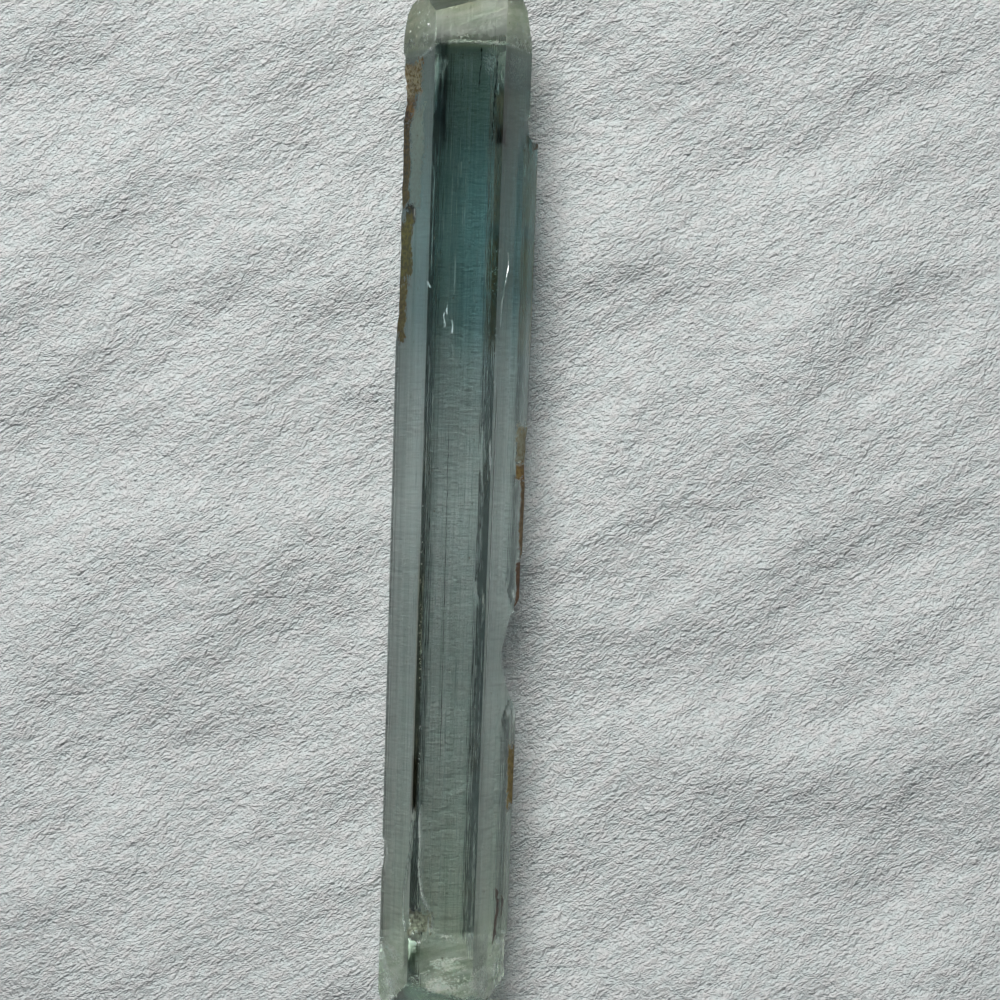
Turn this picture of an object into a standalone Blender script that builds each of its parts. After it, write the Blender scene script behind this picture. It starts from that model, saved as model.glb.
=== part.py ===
"""An aquamarine crystal lying on one of its six prism faces, at its real size, in metres.

Beryl grows as a six-sided prism whose corners are all 120 degrees, however unequal its faces get. The crystal is
one solid: a tapering prism with raised growth layers on its faces, two parallel plates grown over its right-hand
corner, a broken and rounded head and foot, chips along its corners and one etched hollow near the foot.

+Y runs along the crystal to its head, +Z is up, and the origin is at the bottom centre of its box.
"""

from math import cos, radians, sin

import bmesh
import bpy
from mathutils import Matrix, Vector

MM = 0.001

# The prism. The widths of four neighbouring faces set the section: the 120 degree corners give the other two.
CRYSTAL_LENGTH = 58.8 * MM
REST_FACE = 2.86 * MM
LOWER_RIGHT_FACE = 4.73 * MM
UPPER_RIGHT_FACE = 3.39 * MM
TOP_FACE = 3.84 * MM
TAPER = 0.088  # the section at the foot is this much smaller than at the head, as a share of the one between
SPARE = 1.0 * MM  # the raw prism runs this far past both ends, for the breaks to cut away

# Growth layers: the face, the first and last share of its width, the height, and the two ends along the crystal.
LAYER_SLOPE = 0.06 * MM  # how wide the slope at a layer's edge is
LAYER_ROOT = 0.12 * MM  # how deep the layer's body reaches into the prism
LAYERS = [
    ("lower_right", 0.08, 0.36, 0.06, 40.0, -40.0),
    ("lower_right", 0.50, 0.80, 0.05, 21.0, -25.0),
    ("upper_right", 0.55, 0.93, 0.05, 26.0, -14.0),
    ("upper_right", 0.70, 0.86, 0.09, 12.5, -40.0),
    ("top", 0.12, 0.33, 0.04, 24.0, -16.5),
    ("top", 0.52, 0.90, 0.04, 40.0, -12.0),
    ("top", 0.60, 0.74, 0.07, 17.0, -25.5),
    ("upper_left", 0.16, 0.50, 0.05, 19.5, -40.0),
    ("upper_left", 0.62, 0.88, 0.06, 8.0, -21.0),
    ("lower_left", 0.10, 0.42, 0.07, 40.0, -23.0),
    ("lower_left", 0.56, 0.84, 0.05, 16.0, -40.0),
]
REST_GROOVES = [(0.22, 0.36), (0.62, 0.70)]  # shares of the resting face's width
GROOVE_DEPTH = 0.04 * MM

# Parallel plates on the right-hand corner: how far each stands out, how far it wraps back over the two faces,
# and the places of its ends along the crystal.
PLATE_PROUD = 0.24 * MM
PLATE_WRAP = 1.60 * MM
PLATE_SLANT = 1.7 * MM  # a plate's end slants this far along the crystal over its width
PLATES = {"upper_plate": (21.6 * MM, -6.2 * MM), "lower_plate": (-11.2 * MM, -28.6 * MM)}

# Fracture planes, in millimetres: a point on each and the direction that the broken face looks. Each end is broken
# aslant, so the crystal is longer along its top than along the face it rests on.
BREAKS = [
    ((0.0, 29.25, 5.0), (0.02, 1.00, -0.03)),
    ((0.0, 26.75, 0.0), (0.02, 0.55, -0.83)),
    ((-1.3, 26.60, 0.0), (-0.24, 0.55, -0.80)),
    ((0.6, 28.55, 7.20), (-0.10, 0.66, 0.74)),
    ((-3.73, 26.90, 3.9), (-1.00, 0.14, 0.05)),
    ((-3.61, 27.90, 3.9), (-0.90, 0.44, 0.08)),
    ((-3.32, 28.50, 3.9), (-0.60, 0.80, 0.10)),
    ((-2.69, 28.97, 4.0), (-0.44, 0.90, 0.06)),
    ((2.53, 29.20, 4.0), (0.65, 0.76, 0.05)),
    ((3.11, 28.40, 4.0), (0.86, 0.50, -0.04)),
    ((3.52, 27.20, 4.0), (1.00, 0.18, 0.02)),
    ((0.0, -29.25, 4.6), (0.05, -1.00, -0.02)),
    ((0.3, -25.45, 0.0), (0.06, -0.50, -0.86)),
    ((-0.2, -27.75, 6.70), (-0.16, -0.68, 0.72)),
    ((1.6, -28.30, 6.40), (0.30, -0.80, 0.52)),
    ((-3.30, -28.40, 3.4), (-0.48, -0.58, -0.66)),
    ((3.25, -28.20, 3.8), (0.80, -0.60, 0.04)),
]

# Rounded scoops that chips and breaks left, in millimetres: centre, half sizes, and turns about Y and Z in degrees.
SCOOPS = {
    "head_shell": ((1.7, 31.3, 8.5), (2.4, 2.70, 2.5), 0, 15),
    "foot_shell": ((0.5, -31.2, 8.0), (3.1, 3.4, 3.0), 0, -20),
    "left_head_chip": ((-4.35, 24.0, 5.0), (1.05, 1.75, 1.30), -30, 0),
    "left_flake_end": ((-4.05, 10.3, 4.3), (0.55, 0.60, 0.95), -25, 0),
    "right_shoulder_pit": ((4.20, 22.1, 4.4), (0.42, 1.10, 1.05), 20, 0),
    "top_edge_chip_high": ((1.95, 2.6, 7.35), (0.40, 0.75, 0.42), 35, 6),
    "top_edge_chip_low": ((1.92, -5.1, 7.15), (0.34, 0.95, 0.36), 35, -4),
    "left_foot_chip": ((-3.72, -20.8, 3.8), (0.42, 1.15, 1.50), 0, 4),
    "right_foot_chip": ((3.95, -26.3, 4.7), (0.52, 1.50, 1.10), 25, -8),
    "notch_wall": ((4.28, -8.5, 3.5), (1.25, 2.30, 2.30), 0, 4),
}

# The bite out of the right-hand corner between the plates: its plan as (x, y) in millimetres.
NOTCH_PLAN = [
    (4.30, -5.20),
    (3.54, -6.50),
    (3.13, -7.90),
    (3.03, -8.80),
    (3.06, -9.40),
    (3.23, -10.20),
    (3.60, -11.20),
    (3.90, -11.75),
    (5.20, -11.90),
    (5.20, -4.90),
]
NOTCH_LEAN = 0.03  # how far the bite's wall leans out per unit of height

# The bevel along the right-hand corner above the plates, and the ledge where the left-hand corner flaked away.
RIGHT_BEVEL_DEPTH = 0.25 * MM
LEFT_FLAKE_DEPTH = 0.10 * MM
RIGHT_BEVEL_ENDS = (34.0 * MM, 20.4 * MM)
LEFT_FLAKE_ENDS = (25.6 * MM, 10.2 * MM)

# The etched hollow on the top face's left edge: rounded cutters that run together into a fissure opening towards
# the foot, with a rough-floored bowl at its wide end.
HOLLOW = {
    "hollow_neck": ((-1.08, -18.70, 6.86), (0.13, 1.55, 0.24), 0, -6),
    "hollow_left_arm": ((-1.52, -21.30, 6.78), (0.17, 2.30, 0.30), -25, -9),
    "hollow_right_arm": ((-0.86, -21.90, 6.82), (0.14, 1.75, 0.26), 10, 10),
    "hollow_bowl": ((-1.16, -23.45, 6.86), (0.72, 1.05, 0.40), -8, 4),
    "hollow_floor": ((-1.30, -23.75, 6.62), (0.46, 0.62, 0.26), 12, 28),
}

TURN = radians(60)
FACES = ("rest", "lower_right", "upper_right", "top", "upper_left", "lower_left")


def clear_scene():
    """Remove every object that the file opened with."""
    for thing in list(bpy.data.objects):
        bpy.data.objects.remove(thing)


def collection(name):
    """A new collection under the scene's own."""
    made = bpy.data.collections.new(name)
    bpy.context.scene.collection.children.link(made)
    return made


def sides():
    """Each face's (corner, direction, outward direction, width), walked round the section from the left of the rest."""
    upper_left = REST_FACE + LOWER_RIGHT_FACE - TOP_FACE
    lower_left = LOWER_RIGHT_FACE + UPPER_RIGHT_FACE - upper_left
    widths = (REST_FACE, LOWER_RIGHT_FACE, UPPER_RIGHT_FACE, TOP_FACE, upper_left, lower_left)
    at, heading, found = Vector((-REST_FACE / 2, 0.0)), 0.0, {}
    for name, width in zip(FACES, widths):
        along = Vector((cos(heading), sin(heading)))
        outward = Vector((sin(heading), -cos(heading)))
        found[name] = (at.copy(), along, outward, width)
        at = at + width * along
        heading += TURN
    return found


def prism_outline():
    """The six-sided section, with its grooves along the resting face."""
    points = []
    for name, (corner, along, outward, width) in sides().items():
        points.append(corner)
        if name != "rest":
            continue
        for first, last in REST_GROOVES:
            points.append(corner + first * width * along)
            points.append(corner + (first * width + LAYER_SLOPE) * along - GROOVE_DEPTH * outward)
            points.append(corner + (last * width - LAYER_SLOPE) * along - GROOVE_DEPTH * outward)
            points.append(corner + last * width * along)
    return points


def layer_outline(face, first, last, height):
    """The section of one growth layer: its sides slope up out of the prism."""
    corner, along, outward, width = sides()[face]
    lean = LAYER_SLOPE * (LAYER_ROOT + height) / height
    return [
        corner + (first * width - lean) * along - LAYER_ROOT * outward,
        corner + (last * width + lean) * along - LAYER_ROOT * outward,
        corner + last * width * along + height * outward,
        corner + first * width * along + height * outward,
    ]


def plate_outline():
    """The section of a parallel plate: the prism's right-hand corner again, a little further out."""
    corner = sides()["upper_right"][0]
    low, high = Vector((-cos(TURN), -sin(TURN))), Vector((-cos(TURN), sin(TURN)))
    out_low, out_high = Vector((sin(TURN), -cos(TURN))), Vector((sin(TURN), cos(TURN)))
    foot = PLATE_WRAP + LAYER_ROOT
    return [
        corner + foot * low - LAYER_ROOT * out_low,
        corner + PLATE_WRAP * low + PLATE_PROUD * out_low,
        corner + Vector((PLATE_PROUD / cos(TURN / 2), 0.0)),
        corner + PLATE_WRAP * high + PLATE_PROUD * out_high,
        corner + foot * high - LAYER_ROOT * out_high,
    ]


def extruded(name, outline, ends, home):
    """A flat-shaded bar with this (x, z) outline between two places along Y, made from a filled flat curve."""
    data = bpy.data.curves.new(name, "CURVE")
    data.dimensions = "2D"
    data.fill_mode = "BOTH"
    data.extrude = abs(ends[0] - ends[1]) / 2
    spline = data.splines.new("POLY")
    spline.points.add(len(outline) - 1)
    for point, (x, z) in zip(spline.points, outline):
        point.co = (x, z, 0.0, 1.0)
    spline.use_cyclic_u = True
    curve = bpy.data.objects.new(name + "_outline", data)
    curve.matrix_world = Matrix.Translation((0.0, sum(ends) / 2, 0.0)) @ Matrix.Rotation(radians(90), 4, "X")
    home.objects.link(curve)
    bpy.context.view_layer.update()
    mesh = bpy.data.meshes.new_from_object(curve.evaluated_get(bpy.context.evaluated_depsgraph_get()))
    mesh.transform(curve.matrix_world)
    bpy.data.objects.remove(curve)
    welded = bmesh.new()
    welded.from_mesh(mesh)
    bmesh.ops.remove_doubles(welded, verts=welded.verts, dist=0.001 * MM)
    bmesh.ops.recalc_face_normals(welded, faces=welded.faces)
    for face in welded.faces:
        face.smooth = False
    welded.to_mesh(mesh)
    welded.free()
    bar = bpy.data.objects.new(name, mesh)
    home.objects.link(bar)
    return bar


def taper(bar):
    """Slim the bar towards the foot, about the line down the middle of the resting face."""
    for vertex in bar.data.vertices:
        share = 1 + TAPER * (vertex.co.y / CRYSTAL_LENGTH)
        vertex.co.x *= share
        vertex.co.z *= share


def slant_ends(bar, face_direction, reach):
    """Lean both ends of the bar along the crystal, by how far each point lies in one direction of the section."""
    lengthwise = [vertex.co.y for vertex in bar.data.vertices]
    middle = (min(lengthwise) + max(lengthwise)) / 2
    places = [Vector((v.co.x, v.co.z)).dot(face_direction) for v in bar.data.vertices]
    low, high = min(places), max(places)
    for vertex, place in zip(bar.data.vertices, places):
        share = (place - low) / (high - low)
        vertex.co.y += reach * share if vertex.co.y < middle else -reach * share


def split_caps(bar):
    """Split the end caps into triangles: tapering a slanted cap bends it slightly."""
    solid = bmesh.new()
    solid.from_mesh(bar.data)
    bmesh.ops.triangulate(solid, faces=[face for face in solid.faces if len(face.verts) > 4])
    solid.to_mesh(bar.data)
    solid.free()


def as_tool(thing):
    """Mark an object that only shapes another: drawn as wires and left out of renders."""
    thing.hide_render = True
    thing.display_type = "WIRE"
    return thing


def envelope(home):
    """The block that the breaks leave of everything: a box, cut off along the fracture planes."""
    solid = bmesh.new()
    bmesh.ops.create_cube(solid, size=1.0)
    solid.transform(
        Matrix.Translation((0.0, 0.0, 4.0 * MM)) @ Matrix.Diagonal((20 * MM, CRYSTAL_LENGTH + 6 * SPARE, 20 * MM)).to_4x4()
    )
    for point, looks in BREAKS:
        cut = bmesh.ops.bisect_plane(
            solid,
            geom=solid.verts[:] + solid.edges[:] + solid.faces[:],
            plane_co=Vector(point) * MM,
            plane_no=Vector(looks),
            clear_outer=True,
        )
        edges = [item for item in cut["geom_cut"] if isinstance(item, bmesh.types.BMEdge)]
        bmesh.ops.holes_fill(solid, edges=edges)
    bmesh.ops.recalc_face_normals(solid, faces=solid.faces)
    mesh = bpy.data.meshes.new("unbroken_part")
    solid.to_mesh(mesh)
    solid.free()
    made = bpy.data.objects.new("unbroken_part", mesh)
    home.objects.link(made)
    return as_tool(made)


def scoop(name, centre, half_sizes, turn_y, turn_z, home):
    """The rounded cutter of one chip, faceted coarsely enough to leave small flat breaks."""
    ball = bmesh.new()
    bmesh.ops.create_icosphere(ball, subdivisions=3, radius=1.0)
    ball.transform(
        Matrix.Translation(Vector(centre) * MM)
        @ Matrix.Rotation(radians(turn_z), 4, "Z")
        @ Matrix.Rotation(radians(turn_y), 4, "Y")
        @ Matrix.Diagonal(Vector(half_sizes) * MM).to_4x4()
    )
    mesh = bpy.data.meshes.new(name)
    ball.to_mesh(mesh)
    ball.free()
    made = bpy.data.objects.new(name, mesh)
    home.objects.link(made)
    return as_tool(made)


def corner_block(name, corner, side, depth, ends, home):
    """A block outside a left (-1) or right (+1) corner, biting this deep, tapered like the prism."""
    inner = corner.x - side * depth
    outer = corner.x + side * 1.5 * MM
    half = 1.6 * MM
    outline = [
        Vector((inner, corner.y - half)),
        Vector((outer, corner.y - half)),
        Vector((outer, corner.y + half)),
        Vector((inner, corner.y + half)),
    ]
    bar = extruded(name, outline, ends, home)
    slant_ends(bar, Vector((0.0, 1.0)), 0.8 * MM)
    taper(bar)
    return as_tool(bar)


def notch(home):
    """The cutter of the bite out of the right-hand corner: its plan, pulled up with a leaning wall."""
    block = bmesh.new()
    low = [block.verts.new((x * MM, y * MM, 0.6 * MM)) for x, y in NOTCH_PLAN]
    floor = block.faces.new(low)
    pulled = bmesh.ops.extrude_face_region(block, geom=[floor])
    for item in pulled["geom"]:
        if isinstance(item, bmesh.types.BMVert):
            item.co.z += 6.2 * MM
            item.co.x += NOTCH_LEAN * 6.2 * MM
    bmesh.ops.recalc_face_normals(block, faces=block.faces)
    mesh = bpy.data.meshes.new("notch")
    block.to_mesh(mesh)
    block.free()
    made = bpy.data.objects.new("notch", mesh)
    home.objects.link(made)
    return as_tool(made)


def combine(body, others, operation):
    """Join or cut body with everything in a collection, in one live Boolean."""
    step = body.modifiers.new(others.name, "BOOLEAN")
    step.operation = operation
    step.operand_type = "COLLECTION"
    step.collection = others
    step.solver = "EXACT"


def beryl():
    """Clear blue-green beryl."""
    material = bpy.data.materials.new("aquamarine")
    material.use_nodes = True
    shader = material.node_tree.nodes["Principled BSDF"]
    shader.inputs["Base Color"].default_value = (0.22, 0.36, 0.34, 1.0)
    shader.inputs["Roughness"].default_value = 0.08
    shader.inputs["IOR"].default_value = 1.577
    shader.inputs["Transmission Weight"].default_value = 0.9
    return material


def stand_on_origin(body):
    """Bring the bottom centre of the finished solid's box to the origin."""
    bpy.context.view_layer.update()
    found = [Vector(corner) for corner in body.evaluated_get(bpy.context.evaluated_depsgraph_get()).bound_box]
    low = Vector([min(corner[axis] for corner in found) for axis in range(3)])
    high = Vector([max(corner[axis] for corner in found) for axis in range(3)])
    return -Vector(((low.x + high.x) / 2, (low.y + high.y) / 2, low.z))


def main():
    clear_scene()
    home, growth = collection("aquamarine_crystal"), collection("growth_layers")
    unbroken, chips = collection("unbroken_part"), collection("chips")
    raw_ends = (CRYSTAL_LENGTH / 2 + SPARE, -CRYSTAL_LENGTH / 2 - SPARE)
    crystal = extruded("crystal", prism_outline(), raw_ends, home)
    taper(crystal)

    for number, (face, first, last, height, head_end, foot_end) in enumerate(LAYERS):
        ends = (min(head_end * MM, raw_ends[0] + SPARE), max(foot_end * MM, raw_ends[1] - SPARE))
        layer = extruded(f"layer_{number}_{face}", layer_outline(face, first, last, height * MM), ends, growth)
        slant_ends(layer, sides()[face][1], (0.5 + 0.3 * (number % 3)) * MM)
        taper(layer)
        split_caps(as_tool(layer))
    for name, ends in PLATES.items():
        plate = extruded(name, plate_outline(), ends, growth)
        slant_ends(plate, Vector((1.0, 0.0)), PLATE_SLANT)
        taper(plate)
        split_caps(as_tool(plate))
    envelope(unbroken)

    left, right = sides()["lower_left"][0], sides()["upper_right"][0]
    corner_block("right_bevel", right, 1, RIGHT_BEVEL_DEPTH, RIGHT_BEVEL_ENDS, chips)
    corner_block("left_flake", left, -1, LEFT_FLAKE_DEPTH, LEFT_FLAKE_ENDS, chips)
    notch(chips)
    for name, (centre, half_sizes, turn_y, turn_z) in {**SCOOPS, **HOLLOW}.items():
        scoop(name, centre, half_sizes, turn_y, turn_z, chips)

    combine(crystal, growth, "UNION")
    combine(crystal, unbroken, "INTERSECT")
    combine(crystal, chips, "DIFFERENCE")
    crystal.data.materials.append(beryl())
    shift = stand_on_origin(crystal)
    for thing in [crystal, *growth.objects, *unbroken.objects, *chips.objects]:
        thing.location += shift


main()
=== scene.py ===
# %% [markdown]
# # An aquamarine prism, from the frame to the picture
#
# Aquamarine is blue-green beryl. It grows as a six-sided prism with lengthwise growth layers on its faces,
# and a loose crystal like this one is a whole prism whose two ends broke. The CAD solid has the faces, the
# larger layers, the plate on the right-hand corner and the breaks. This lesson makes the piece that is seen:
# the same solid with its fine striations, rough breaks, iron stains and the small flaws inside it.

# %% The frame and its box
from math import cos, pi, radians, sin

import bpy
import numpy as np
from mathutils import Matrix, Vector, noise


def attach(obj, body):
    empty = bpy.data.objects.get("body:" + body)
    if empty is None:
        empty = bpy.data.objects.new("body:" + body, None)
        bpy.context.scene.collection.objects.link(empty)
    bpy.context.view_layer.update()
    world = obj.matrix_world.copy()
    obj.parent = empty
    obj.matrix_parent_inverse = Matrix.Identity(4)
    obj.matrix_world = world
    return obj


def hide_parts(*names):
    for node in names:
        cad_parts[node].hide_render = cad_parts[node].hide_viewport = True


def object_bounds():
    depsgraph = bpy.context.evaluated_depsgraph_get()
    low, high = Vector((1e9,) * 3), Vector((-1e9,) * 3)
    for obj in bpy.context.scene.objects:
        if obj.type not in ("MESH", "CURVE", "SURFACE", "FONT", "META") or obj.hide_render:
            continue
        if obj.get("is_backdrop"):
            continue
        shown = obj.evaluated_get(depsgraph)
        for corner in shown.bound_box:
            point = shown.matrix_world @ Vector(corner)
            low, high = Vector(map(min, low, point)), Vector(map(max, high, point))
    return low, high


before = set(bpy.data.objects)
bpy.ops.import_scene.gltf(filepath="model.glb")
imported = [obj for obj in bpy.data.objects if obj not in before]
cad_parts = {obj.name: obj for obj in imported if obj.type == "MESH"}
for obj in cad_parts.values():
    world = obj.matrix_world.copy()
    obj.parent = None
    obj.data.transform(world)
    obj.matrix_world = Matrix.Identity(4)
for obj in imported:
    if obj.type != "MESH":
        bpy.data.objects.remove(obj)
cad_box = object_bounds()
MM = 0.001
print("CAD box in mm:", [[round(value / MM, 2) for value in corner] for corner in cad_box])

# %% [markdown]
# ## Small helpers
#
# Operators act on whatever is selected, so each step starts from an empty selection. Colours are written as
# the sRGB hex values that a colour picker shows, and one function turns them to the linear values that light
# adds in.


# %% Helpers for selection, colour and nodes
def only(thing):
    """Select one object and make it active."""
    bpy.ops.object.select_all(action="DESELECT")
    thing.select_set(True)
    bpy.context.view_layer.objects.active = thing
    return thing


def hex_colour(text):
    """The linear RGBA of an sRGB hex colour such as 7A9188."""
    parts = [int(text[place : place + 2], 16) / 255 for place in (0, 2, 4)]
    linear = [part / 12.92 if part <= 0.04045 else ((part + 0.055) / 1.055) ** 2.4 for part in parts]
    return (*linear, 1.0)


def add_node(tree, kind, settings=None, inputs=None, links=None):
    """Add a node. Settings are its own properties, inputs are plain values, links come from other sockets."""
    made = tree.nodes.new(kind)
    for key, value in (settings or {}).items():
        setattr(made, key, value)
    for key, value in (inputs or {}).items():
        made.inputs[key].default_value = value
    for key, source in (links or {}).items():
        tree.links.new(source, made.inputs[key])
    return made


def new_look(name, sockets):
    """A new material with these values on its shader's sockets, and its node tree and shader."""
    look = bpy.data.materials.new(name)
    look.use_nodes = True
    shader = look.node_tree.nodes["Principled BSDF"]
    for socket, value in sockets.items():
        shader.inputs[socket].default_value = value
    return look, look.node_tree, shader


def set_stops(ramp_node, stops):
    """Give a colour ramp its stops: pairs of a place from 0 to 1 and an sRGB colour."""
    made = ramp_node.color_ramp.elements
    for number, (share, colour) in enumerate(stops):
        stop = made[number] if number < len(made) else made.new(share)
        stop.position = share
        stop.color = hex_colour(colour)


def places(thing):
    """The mesh's vertices as an array of positions in metres."""
    found = np.empty(len(thing.data.vertices) * 3)
    thing.data.vertices.foreach_get("co", found)
    return found.reshape(-1, 3)


def move_to(thing, new_places):
    """Put every vertex at its new position."""
    thing.data.vertices.foreach_set("co", np.asarray(new_places, dtype=np.float32).ravel())
    thing.data.update()


print("helpers ready: mid grey 808080 is", round(hex_colour("808080")[0], 3), "in linear light")


# %% [markdown]
# ## The camera, the paper and the light
#
# The crystal lies down and the camera looks straight down on it, turned a little so that the prism leans. The
# paper has a fine pressed grain. The light is a window: one large soft panel to the left and towards the
# head, and a dim room that is darkest overhead. That dark ceiling matters, because a clear prism works like a
# roof prism: through its top face, the two lower faces mirror the ceiling back as two dark bands along the
# crystal.

# %% Camera
PIXEL = 0.058 * MM  # one pixel of a 1000 pixel frame, at the height of the prism's widest line
WIDEST = 3.9 * MM
FRAME = 1000  # pixels across
LENS, SENSOR = 70, 36  # mm
LEAN = radians(1.9)
AIM = (42.5 * PIXEL, 0.14 * MM)  # the frame's middle is a little to the right of the crystal's

camera_data = bpy.data.cameras.new("overhead_camera")
camera_data.lens = LENS
camera_data.sensor_width = SENSOR
camera = bpy.data.objects.new("overhead_camera", camera_data)
distance = FRAME * PIXEL * camera_data.lens / camera_data.sensor_width
camera.location = (*AIM, WIDEST + distance)
camera.rotation_euler = (0, 0, LEAN)
bpy.context.scene.collection.objects.link(camera)
bpy.context.scene.camera = camera
print("camera height in mm:", round(camera.location.z / MM, 1))

# %% [markdown]
# The paper is thick and rough, like paper for watercolours. Its felt left a slanting grain, so the noise is
# stretched along a slant, and coarser noises make the sheet cockle a little. Its fibres are not all one
# white.

# %% Paper
PAPER_SIZE = 4.0  # metres, so that its edges never show
FELT = 3700.0  # cells per metre, so the grain is about a quarter of a millimetre
COCKLES = [(1500.0, 0.5), (420.0, 1.5), (95.0, 10.0)]  # cells per metre, height against the felt's
FIBRES = 1500.0  # cells per metre
GRAIN_SLANT = radians(34)
GRAIN_HEIGHT = 0.00055

bpy.ops.mesh.primitive_plane_add(size=PAPER_SIZE, location=(0, 0, 0))
paper = bpy.context.object
paper.name = "paper"
paper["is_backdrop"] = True

paper_look, tree, shader = new_look("rough_cotton_paper", {"Roughness": 0.95, "Specular IOR Level": 0.2})
spot = add_node(tree, "ShaderNodeTexCoord")
slanted = add_node(
    tree,
    "ShaderNodeMapping",
    settings={"vector_type": "TEXTURE"},
    inputs={"Rotation": (0, 0, GRAIN_SLANT), "Scale": (1.5, 1.0, 1.0)},
    links={"Vector": spot.outputs["Object"]},
)
felt = add_node(
    tree,
    "ShaderNodeTexNoise",
    inputs={"Scale": FELT, "Detail": 2.0, "Roughness": 0.9},
    links={"Vector": slanted.outputs[0]},
)
sheet = felt.outputs["Fac"]
for scale, share in COCKLES:
    cockle = add_node(
        tree,
        "ShaderNodeTexNoise",
        inputs={"Scale": scale, "Detail": 1.0},
        links={"Vector": slanted.outputs[0]},
    )
    raised = add_node(
        tree,
        "ShaderNodeMath",
        settings={"operation": "MULTIPLY_ADD"},
        inputs={1: share},
        links={0: cockle.outputs["Fac"], 2: sheet},
    )
    sheet = raised.outputs[0]
relief = add_node(
    tree,
    "ShaderNodeBump",
    inputs={"Strength": 1.0, "Distance": GRAIN_HEIGHT},
    links={"Height": sheet},
)
tree.links.new(relief.outputs["Normal"], shader.inputs["Normal"])
fibres = add_node(
    tree,
    "ShaderNodeTexNoise",
    inputs={"Scale": FIBRES, "Detail": 4.0, "Roughness": 0.6},
    links={"Vector": slanted.outputs[0]},
)
shades = add_node(tree, "ShaderNodeValToRGB", links={"Fac": fibres.outputs["Fac"]})
set_stops(shades, [(0.35, "E0E8E6"), (0.65, "E6E6E4")])
tree.links.new(shades.outputs["Color"], shader.inputs["Base Color"])
paper.data.materials.append(paper_look)
print("paper grain in mm:", round(1000 / FELT, 2), "to", round(1000 / COCKLES[-1][0], 1))

# %% Window light and room
WINDOW_SIZE = 0.24
WINDOW_POWER = 2.02
WINDOW_PLACE = (-0.085, 0.25, 0.33)
ROOM_STRENGTH = 0.50

window_data = bpy.data.lights.new("window", "AREA")
window_data.shape = "RECTANGLE"
window_data.size, window_data.size_y = WINDOW_SIZE, WINDOW_SIZE
window_data.energy = WINDOW_POWER
window = bpy.data.objects.new("window", window_data)
window.location = WINDOW_PLACE
window.rotation_euler = (Vector((0, 0, 0)) - window.location).to_track_quat("-Z", "Y").to_euler()
bpy.context.scene.collection.objects.link(window)

room = bpy.data.worlds.new("room")
room.use_nodes = True
bpy.context.scene.world = room
tree = room.node_tree
backdrop = tree.nodes["Background"]
way = add_node(tree, "ShaderNodeTexCoord")
height = add_node(tree, "ShaderNodeSeparateXYZ", links={"Vector": way.outputs["Generated"]})
by_height = add_node(tree, "ShaderNodeValToRGB", links={"Fac": height.outputs["Z"]})
set_stops(by_height, [(0.45, "B9BEC4"), (0.80, "15181A")])
tree.links.new(by_height.outputs["Color"], backdrop.inputs["Color"])
backdrop.inputs["Strength"].default_value = ROOM_STRENGTH
bpy.context.scene.view_settings.view_transform = "Standard"

paths = bpy.context.scene.cycles  # light passes many walls on its way through a crystal
paths.max_bounces = 16
paths.glossy_bounces = 6
paths.transmission_bounces = 13
print("window at", [round(value, 2) for value in window.location], "metres")

# %% [markdown]
# ## The prism as a fine tube
#
# The section is known: six faces that meet at 120 degrees. A tube of narrow columns is wrapped round it, so
# that a growth layer can begin at any column. The columns are shared out so that each of the six corners
# falls on one, with more of them on the faces that look up. The tube starts as a cylinder, is turned to lie
# along Y, and its long edges are subdivided into rows.

# %% The section, as the CAD solid has it
LENGTH = 58.8 * MM
SPARE = 1.0 * MM
TAPER = 0.088
TURN = radians(60)
ROW_SHIFT = np.array([-0.217, 0.039, 0.0]) * MM  # from the prism's own axis to the bottom centre of the box
WIDTHS = {"rest": 2.86 * MM, "lower_right": 4.73 * MM, "upper_right": 3.39 * MM, "top": 3.84 * MM}
WIDTHS["upper_left"] = WIDTHS["rest"] + WIDTHS["lower_right"] - WIDTHS["top"]
WIDTHS["lower_left"] = WIDTHS["lower_right"] + WIDTHS["upper_right"] - WIDTHS["upper_left"]
COLUMNS = {"rest": 34, "lower_right": 52, "upper_right": 54, "top": 84, "upper_left": 58, "lower_left": 46}
ROWS = 200
PRIMITIVE_RADIUS = 4 * MM

section = {}
at, heading = np.array([-WIDTHS["rest"] / 2, 0.0]), 0.0
for name in COLUMNS:
    along = np.array([cos(heading), sin(heading)])
    section[name] = (at.copy(), along, np.array([sin(heading), -cos(heading)]), WIDTHS[name])
    at = at + WIDTHS[name] * along
    heading += TURN
print("section closes to within", round(float(np.abs(at - section["rest"][0]).max()) / MM, 6), "mm")

# %% The tube
column_count = sum(COLUMNS.values())
bpy.ops.object.select_all(action="DESELECT")
bpy.ops.mesh.primitive_cylinder_add(
    vertices=column_count,
    radius=PRIMITIVE_RADIUS,
    depth=LENGTH + 2 * SPARE,
    end_fill_type="NGON",
    rotation=(radians(90), 0, 0),
)
crystal = bpy.context.object
crystal.name = "crystal_prism"
bpy.ops.object.transform_apply(location=False, rotation=True, scale=False)
bpy.context.tool_settings.mesh_select_mode = (False, True, False)


def select_lengthwise(thing):
    """Select the edges that run along the crystal."""
    for kind in (thing.data.polygons, thing.data.edges, thing.data.vertices):
        kind.foreach_set("select", [False] * len(kind))
    ends = np.empty(len(thing.data.edges) * 2, dtype=int)
    thing.data.edges.foreach_get("vertices", ends)
    run = np.diff(places(thing)[ends.reshape(-1, 2)], axis=1)[:, 0]
    thing.data.edges.foreach_set("select", np.abs(run[:, 1]) > np.hypot(run[:, 0], run[:, 2]))


def cut_lengthwise(thing, cuts):
    """Cut every edge that runs along the crystal into equal steps."""
    select_lengthwise(thing)
    bpy.ops.object.mode_set(mode="EDIT")
    bpy.ops.mesh.subdivide(number_cuts=cuts)
    bpy.ops.object.mode_set(mode="OBJECT")


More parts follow.
